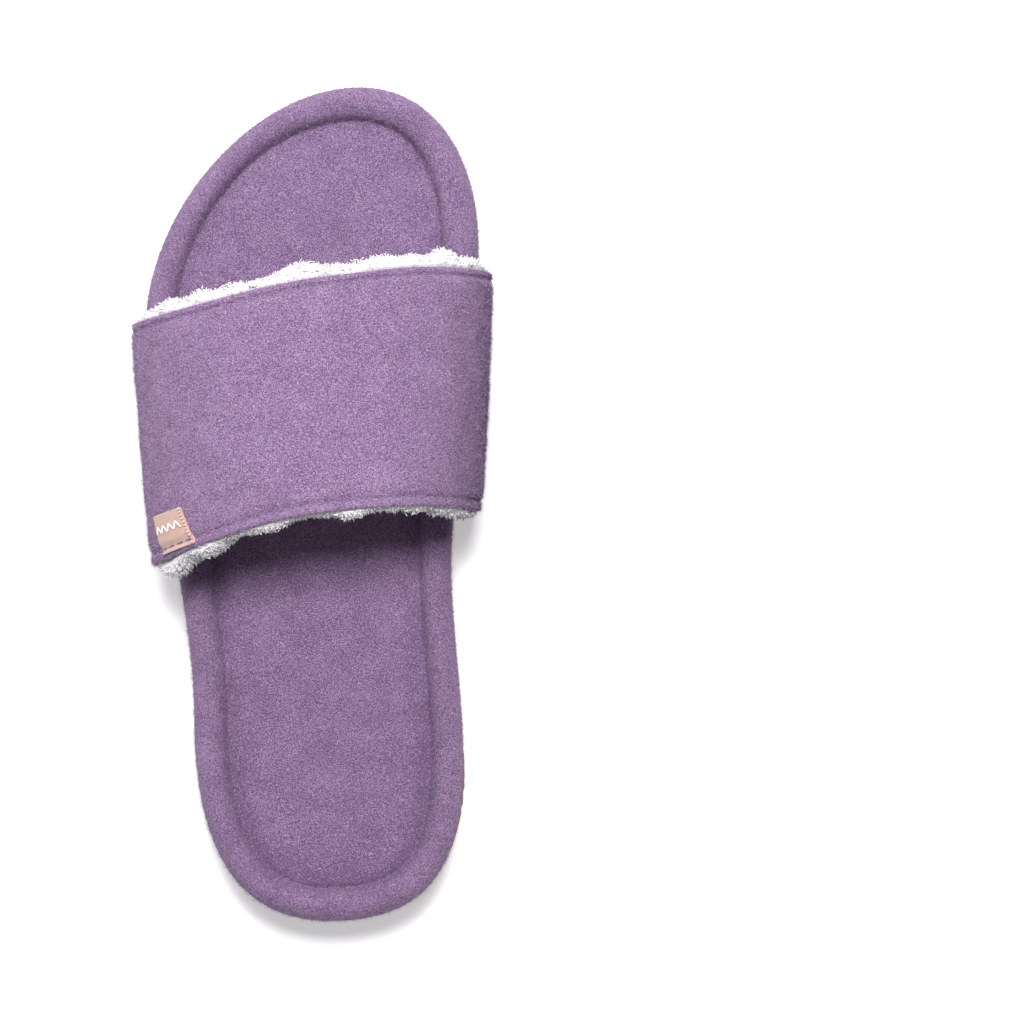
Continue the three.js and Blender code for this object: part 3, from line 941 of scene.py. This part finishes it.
def fleece_place(u, v):
    """Round the fleece's section: along its inner face, round its rear edge, and back outside."""
    across = fleece_shares[round(v * fleece_columns)]
    n = round(u * fleece_loop) % fleece_loop
    outer = shell_thickness + lining_gap + (interlining_thickness + lining_gap) * over_foot(across)
    inner = outer + lerp(side_pile, fleece_thickness, over_foot(across))
    back = n - fleece_rows - fleece_sides  # counts the outside's rows, from the rear edge
    from_edge = min(max(min(back, fleece_rows - back), 0), fleece_rows) / fleece_rows * band_length
    outer = lerp(shell_thickness + edge_gap, outer, smooth(*edge_ease, from_edge))
    middle, half = (inner + outer) / 2, (inner - outer) / 2
    if n < fleece_rows:
        along, depth = n / fleece_rows, middle + half
    elif n < fleece_rows + fleece_sides:
        angle = math.pi * (n - fleece_rows) / fleece_sides
        along, depth = 1 + math.sin(angle) * half * 0.5 / band_length, middle + half * math.cos(angle)
    elif n < 2 * fleece_rows + fleece_sides:
        along, depth = 1 - (n - fleece_rows - fleece_sides) / fleece_rows, middle - half
    else:
        angle = math.pi * (n - 2 * fleece_rows - fleece_sides) / fleece_sides
        along, depth = -math.sin(angle) * half * 0.5 / band_length, middle - half * math.cos(angle)
    front_past = -fleece_past[0] * smooth(0.2, 0.33, min(across, 1 - across))
    rear_past = fleece_past[1] + rear_bunching(across)
    shift = lerp(front_past, rear_past, along) / band_length
    p = band_point(across, along + shift, depth)
    lump = noise.noise(p * 260) + 0.6 * noise.noise(p * 600)
    if depth > middle or not 0 <= along <= 1:
        p = band_point(across, along + shift, depth + fleece_lumps * lump * over_foot(across))
        wave = max(noise.noise(Vector((across * 26, along * 3, 3))), -0.3)
        lobe = (front_lobes if along < 0 else rear_lobes) * wave + edge_lumps * lump
        p.y += (-lobe if along > 1 else lobe if along < 0 else 0) * over_foot(across)
    return p


def on_pile(u, v):
    """1 on the side towards the foot and on most of both edges."""
    n = round(u * fleece_loop) % fleece_loop
    return float(n <= fleece_rows + fleece_sides * 0.7 or n >= fleece_loop - fleece_sides * 0.7)


def on_fringe(u, v):
    """1 on the cut edges."""
    n = round(u * fleece_loop) % fleece_loop
    rear = fleece_rows - 2 <= n <= fleece_rows + fleece_sides - 1
    return float(rear or n >= fleece_loop - fleece_sides + 1 or n <= 2)


bm = skin(fleece_loop, fleece_columns, fleece_place, ring=True, weights=(on_pile, on_fringe))
bmesh.ops.holes_fill(bm, edges=bm.edges, sides=0)
bmesh.ops.recalc_face_normals(bm, faces=bm.faces)
lining = make_piece("fleece_lining", bm, [fleece.material], groups=("pile", "fringe"))


def plain(name, colour, roughness=0.95, **sockets):
    """A material of one even colour, for hairs too fine to carry a pattern."""
    return Finish(name, roughness, Base_Color=(*colour, 1), **sockets).material


def strand(name, material, radius, steps, course, blunt=0.5):
    """A three-sided hair along course(t), closed at both ends."""

    def place(u, v):
        ahead = (course(min(v + 0.01, 1)) - course(max(v - 0.01, 0))).normalized()
        across = ahead.orthogonal().normalized()
        thick = radius * math.sin(math.pi * v**blunt) ** 0.5 if 0 < v < 1 else 0
        turn = Matrix.Rotation(2 * math.pi * u, 3, ahead)
        return course(v) + turn @ across * thick

    bm = skin(3, steps, place, ring=True)
    bmesh.ops.recalc_face_normals(bm, faces=bm.faces)
    return shape(name, bm, material)


def shape(name, bm, material):
    """A small shape to scatter, which isn't a piece itself."""
    mesh = bpy.data.meshes.new(name)
    bm.to_mesh(mesh)
    bm.free()
    mesh.materials.append(material)
    mesh.polygons.foreach_set("use_smooth", [True] * len(mesh.polygons))
    return bpy.data.objects.new(name, mesh)


def scattered(name, base, group, shapes, density, lean, sizes, seed):
    """Copies of the shapes stand on a piece's faces, each leant, turned and sized by chance."""
    tree = bpy.data.node_groups.new(name, "GeometryNodeTree")
    tree.interface.new_socket("Geometry", in_out="INPUT", socket_type="NodeSocketGeometry")
    tree.interface.new_socket("Geometry", in_out="OUTPUT", socket_type="NodeSocketGeometry")

    def node(kind, inputs, **settings):
        made = tree.nodes.new(kind)
        for setting, value in settings.items():
            setattr(made, setting, value)
        for place, value in inputs.items():
            if isinstance(value, bpy.types.NodeSocket):
                tree.links.new(value, made.inputs[place])
            else:
                made.inputs[place].default_value = value
        return made

    drawn = bpy.data.collections.new(name)
    for drawn_shape in shapes:
        drawn.objects.link(drawn_shape)
    source = node("NodeGroupInput", {})
    weight = node("GeometryNodeInputNamedAttribute", {"Name": group})
    dense = node("ShaderNodeMath", {0: weight.outputs[0], 1: density}, operation="MULTIPLY")
    points = node(
        "GeometryNodeDistributePointsOnFaces",
        {"Mesh": source.outputs[0], "Density": dense.outputs[0], "Seed": seed},
    )
    leant = node(
        "FunctionNodeRandomValue",
        {0: (lean[0], -0.2, 0), 1: (lean[1], 0.2, 2 * math.pi), "Seed": seed + 1},
        data_type="FLOAT_VECTOR",
    )
    turned = node(
        "FunctionNodeRotateRotation",
        {0: points.outputs["Rotation"], 1: leant.outputs[0]},
        rotation_space="LOCAL",
    )
    sized = node("FunctionNodeRandomValue", {2: sizes[0], 3: sizes[1], "Seed": seed + 2}, data_type="FLOAT")
    chosen = node(
        "GeometryNodeCollectionInfo",
        {"Collection": drawn, "Separate Children": True, "Reset Children": True},
    )
    placed = node(
        "GeometryNodeInstanceOnPoints",
        {
            "Points": points.outputs["Points"],
            "Instance": chosen.outputs[0],
            "Pick Instance": True,
            "Rotation": turned.outputs[0],
            "Scale": sized.outputs[1],
        },
    )
    real = node("GeometryNodeRealizeInstances", {"Geometry": placed.outputs[0]})
    node("NodeGroupOutput", {0: real.outputs[0]})
    piece = base.copy()
    piece.name = name
    bpy.context.collection.objects.link(piece)
    piece.modifiers.new("scatter", "NODES").node_group = tree
    apply_modifiers(piece)
    piece.vertex_groups.clear()
    piece.data.name = name
    for drawn_shape in shapes:
        bpy.data.objects.remove(drawn_shape)
    bpy.data.collections.remove(drawn)
    bpy.data.node_groups.remove(tree)
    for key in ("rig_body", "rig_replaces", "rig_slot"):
        piece.pop(key, None)
    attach(piece, "root")
    piece.data.update()
    return piece


def curl(name, material, turns, loop, height, radius):
    """A springy lock of fleece that coils upwards."""

    def course(t):
        angle = 2 * math.pi * turns * t
        wide = loop * math.sin(math.pi * (0.15 + 0.8 * t))
        return Vector((wide * math.cos(angle) - loop * 0.45, wide * math.sin(angle), height * t - 0.0004))

    return strand(name, material, radius, 10, course, blunt=1)


# The faint lilac tint of these tones is painted light bounced off the purple felt.
fleece_tones = [
    plain("fleece_white", (0.83, 0.81, 0.83), Sheen_Weight=0.15),
    plain("fleece_pearl", (0.78, 0.76, 0.79), Sheen_Weight=0.15),
    plain("fleece_lilac", (0.70, 0.67, 0.72), Sheen_Weight=0.15),
]
locks = [
    curl("lock_a", fleece_tones[0], 1.3, 0.0008, 0.0022, 0.00028),
    curl("lock_b", fleece_tones[0], 0.9, 0.0010, 0.0026, 0.00022),
    curl("lock_c", fleece_tones[1], 1.6, 0.0007, 0.0019, 0.00026),
    curl("lock_d", fleece_tones[2], 1.1, 0.0009, 0.0016, 0.00030),
]
pile = scattered("fleece_pile", lining, "pile", locks, 230000, (0.2, 1.3), (0.6, 1.25), 3)


def lock(name, material, height, radius, bend):
    """A pointed lock of wool that bends over."""

    def course(t):
        return Vector((bend * t * t, 0.3 * bend * math.sin(math.pi * t), height * t - 0.0006))

    return strand(name, material, radius, 6, course, blunt=0.4)


wisps = [
    lock("wisp_a", fleece_tones[0], 0.0019, 0.00034, 0.0006),
    lock("wisp_b", fleece_tones[0], 0.0016, 0.00038, -0.0005),
    lock("wisp_c", fleece_tones[0], 0.0023, 0.00024, 0.0008),
    lock("wisp_d", fleece_tones[1], 0.0014, 0.00042, 0.0004),
]
fringe = scattered("fleece_fringe", lining, "fringe", wisps, 1900000, (-0.8, 0.8), (0.6, 1.15), 8)
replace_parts(lining, "upper_lining")
for piece in (lining, pile, fringe):
    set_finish(piece, "fleece")

# ---- Label ----
# A woven peach ribbon is folded flat and caught in the rear row of stitches on the outer side. It
# carries a plain woven mark, and its heel-side selvedge is scalloped in pink.

label_from, label_to, label_length, label_tail = 0.290, 0.352, 0.0125, 0.0012
label_slant = 0.018
label_columns, label_rows = 14, 16
label_lift, label_bow, label_thickness = 0.0009, 0.0002, 0.0005
stitch_pull = 0.0011  # how deep the rear row pulls the label in, and how far along it that reaches

ribbon = Finish("peach_ribbon", 0.7, Sheen_Weight=0.2)
weft = ribbon.node(
    "ShaderNodeTexWave",
    {"wave_type": "BANDS", "bands_direction": "Y"},
    {"Vector": ribbon.place, "Scale": 900, "Distortion": 1.2, "Detail": 2},
)
ribbon.drive(
    "Base Color",
    ribbon.ramp(
        weft * 0.5 + ribbon.noise(1500) * 0.5,
        *shades(0.3, 0.7, (0.58, 0.36, 0.29), (0.77, 0.54, 0.45)),
    ),
)
ribbon.bump(weft, 0.00015)


def label_point(u, v, lift):
    """Across the band by u, and towards its rear by v, on top of the felt."""
    across = lerp(label_from, label_to, u) + label_slant * (v - 0.5)
    tail = band_length - label_tail
    s = lerp(tail - label_length, tail, v)
    sunk = math.exp(-(((s - (band_length - rear_hem)) / stitch_pull) ** 2))
    return band_point(across, s / band_length, -label_lift - lift + stitch_pull * sunk)


bm = skin(label_columns, label_rows, lambda u, v: label_point(u, v, label_bow * math.sin(math.pi * u)))
bmesh.ops.recalc_face_normals(bm, faces=bm.faces)
bmesh.ops.solidify(bm, geom=bm.faces[:], thickness=label_thickness)
label = make_piece("woven_label", bm, [ribbon.material])
smoothing = label.modifiers.new("smooth", "SUBSURF")
smoothing.levels = smoothing.render_levels = 1
apply_modifiers(label)
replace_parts(label, "side_label")
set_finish(label, "label")


def thread_finish(name, dark, light):
    """Spun thread, whose plies show as fine slanting bands."""
    thread = Finish(name, 0.62, Sheen_Weight=0.15)
    plies = thread.noise(1700, 2, at=thread.stretched((1.0, 1.0, 0.35), (0.6, 0.4, 0.3)))
    thread.drive("Base Color", thread.ramp(plies, *shades(0.38, 0.62, dark, light)))
    thread.bump(plies, 0.00015)
    return thread.material


white_thread = thread_finish("white_thread", (0.76, 0.72, 0.71), (0.92, 0.89, 0.88))
pink_thread = thread_finish("pink_thread", (0.62, 0.36, 0.33), (0.82, 0.54, 0.50))


def stitches(name, material, ends, thickness, flatness=1.0):
    """One short rounded stitch from each start to its end."""
    bm = bmesh.new()
    for start, end, up in ends:
        along = (end - start).normalized()
        across = up.cross(along).normalized()
        turn = Matrix((along, across, along.cross(across))).transposed().to_4x4()
        size = Matrix.Diagonal(((end - start).length / 2, thickness, thickness * flatness, 1))
        place = Matrix.Translation((start + end) / 2) @ turn @ size
        bmesh.ops.create_uvsphere(bm, u_segments=8, v_segments=6, radius=1, matrix=place)
    bmesh.ops.recalc_face_normals(bm, faces=bm.faces)
    return make_piece(name, bm, [material])


def label_stitch(u0, v0, u1, v1, lift):
    """The two ends of a stitch on the label, and the way up from it."""
    up = label_point((u0 + u1) / 2, (v0 + v1) / 2, 0.001) - label_point((u0 + u1) / 2, (v0 + v1) / 2, 0)
    return label_point(u0, v0, lift), label_point(u1, v1, lift), up


zigzag = []
for n in range(8):
    low, high = (0.30, 0.52) if n % 2 else (0.52, 0.30)
    zigzag.append(label_stitch(0.10 + n * 0.095, low, 0.195 + n * 0.095, high, 0.0005))
mark = stitches("label_mark", white_thread, zigzag, 0.00036, 0.5)
scallops = [label_stitch(0.955, n / 11 + 0.01, 0.955, (n + 0.85) / 11, 0.0004) for n in range(11)]
selvedge = stitches("label_selvedge", pink_thread, scallops, 0.0005, 0.6)
for piece in (mark, selvedge):
    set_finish(piece, "label")

# ---- Sewing ----
# Both rows along the band's edges are lockstitch in purple thread, pulled down into the felt. The seam
# between the footbed's cover and the wrap is sewn the same way all round the sole.

purple_thread = thread_finish("purple_thread", (0.16, 0.09, 0.19), (0.32, 0.20, 0.37))
stitch_length, stitch_gap, thread_radius = 0.0030, 0.0005, 0.00028
stitch_sunk, stitch_raised = 0.0007, -0.00045  # depth in the felt, and over the label
band_stitches = 46
sole_girth = sole_length * 2.45
seam_inset = 0.0010


def band_row(distance, on_label):
    """Stitches at a distance from the front edge, from one side of the sole to the other."""
    shares = evenly_across(fleece_end, 1 - fleece_end, band_stitches)
    ends = []
    for a, b in zip(shares, shares[1:]):
        gap = (b - a) * 0.08
        raised = on_label and label_from + 0.006 < (a + b) / 2 < label_to + 0.008
        depth = stitch_raised if raised else stitch_sunk
        start = band_point(a + gap, distance / band_length, depth)
        end = band_point(b - gap, distance / band_length, depth)
        up = band_point((a + b) / 2, distance / band_length, -0.001) - band_point(
            (a + b) / 2, distance / band_length, 0
        )
        ends.append((start, end, up))
    return ends


front_row = stitches("front_stitches", purple_thread, band_row(front_hem, False), thread_radius)
rear_row = stitches("rear_stitches", purple_thread, band_row(band_length - rear_hem, True), thread_radius)
seam_count = round(sole_girth / (stitch_length + stitch_gap))
seam_height = (cover_low.z + wrap_high.z) / 2 - 0.0001
seam = []
for n in range(seam_count):
    start, end = (
        sole_point((n + part) / seam_count, seam_inset, seam_height) for part in (0.06, 0.94)
    )
    seam.append((start, end, Vector((0, 0, 1))))
seam_row = stitches("rim_seam_stitches", purple_thread, seam, thread_radius)
rows = ((front_row, "front_topstitch"), (rear_row, "rear_topstitch"), (seam_row, "rim_seam_thread"))
for piece, node in rows:
    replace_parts(piece, node)
    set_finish(piece, "thread")

# ---- Nap on the felt ----
# Loose ends of wool stand up all over the felt. Most are short and lie over, a few are longer, and they
# show as a pale fuzz along every edge.

wool_tones = [
    plain("wool_light", (0.47, 0.34, 0.53)),
    plain("wool_middle", (0.30, 0.19, 0.35)),
    plain("wool_dark", (0.15, 0.085, 0.19)),
]


def fibre(name, material, length, radius):
    """A short wool hair, which tapers to a point."""
    bm = bmesh.new()
    standing = Matrix.Translation((0, 0, length / 2 - 0.0001))
    bmesh.ops.create_cone(
        bm, cap_ends=True, segments=3, radius1=radius, radius2=0, depth=length, matrix=standing
    )
    return shape(name, bm, material)


def nap(name, base, count, seed, length=0.0014):
    """Short wool fibres of three shades on the base's outer faces."""
    fibres = [
        fibre(name + "_a", wool_tones[0], length, 0.000085),
        fibre(name + "_b", wool_tones[1], length * 0.9, 0.00008),
        fibre(name + "_c", wool_tones[0], length * 1.3, 0.00006),
        fibre(name + "_d", wool_tones[2], length * 0.8, 0.00008),
    ]
    area = sum(p.area for p in base.data.polygons)
    piece = scattered(name, base, "nap", fibres, count / area, (0.3, 1.45), (0.5, 1.15), seed)
    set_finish(piece, "felt")


nap("cover_nap", cover_skin, 49500, 11)
nap("band_nap", shell, 100000, 12)
nap("wrap_nap", wrap, 60000, 13)


def bent_hair(name, material, reach, rise, curve):
    """A long thin hair that lies over in an arc."""

    def course(t):
        return Vector((curve * math.sin(math.pi * t), reach * t, rise * math.sin(math.pi * t * 0.8)))

    return strand(name, material, 0.00004, 7, course, blunt=1)


def stray_hairs(name, base, count, seed):
    """Longer hairs that have worked loose and lie over the nap."""
    hairs = [
        bent_hair(name + "_a", wool_tones[0], 0.0032, 0.0007, 0.0005),
        bent_hair(name + "_b", wool_tones[0], 0.0024, 0.0009, -0.0007),
        bent_hair(name + "_c", wool_tones[1], 0.0038, 0.0005, 0.0004),
    ]
    area = sum(p.area for p in base.data.polygons)
    piece = scattered(name, base, "nap", hairs, count / area, (-0.1, 0.25), (0.6, 1.2), seed)
    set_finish(piece, "felt")


stray_hairs("cover_hairs", cover_skin, 2200, 21)
stray_hairs("band_hairs", shell, 3600, 22)
bpy.data.objects.remove(cover_skin)

# ---- The box that all of it fills ----

low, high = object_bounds()
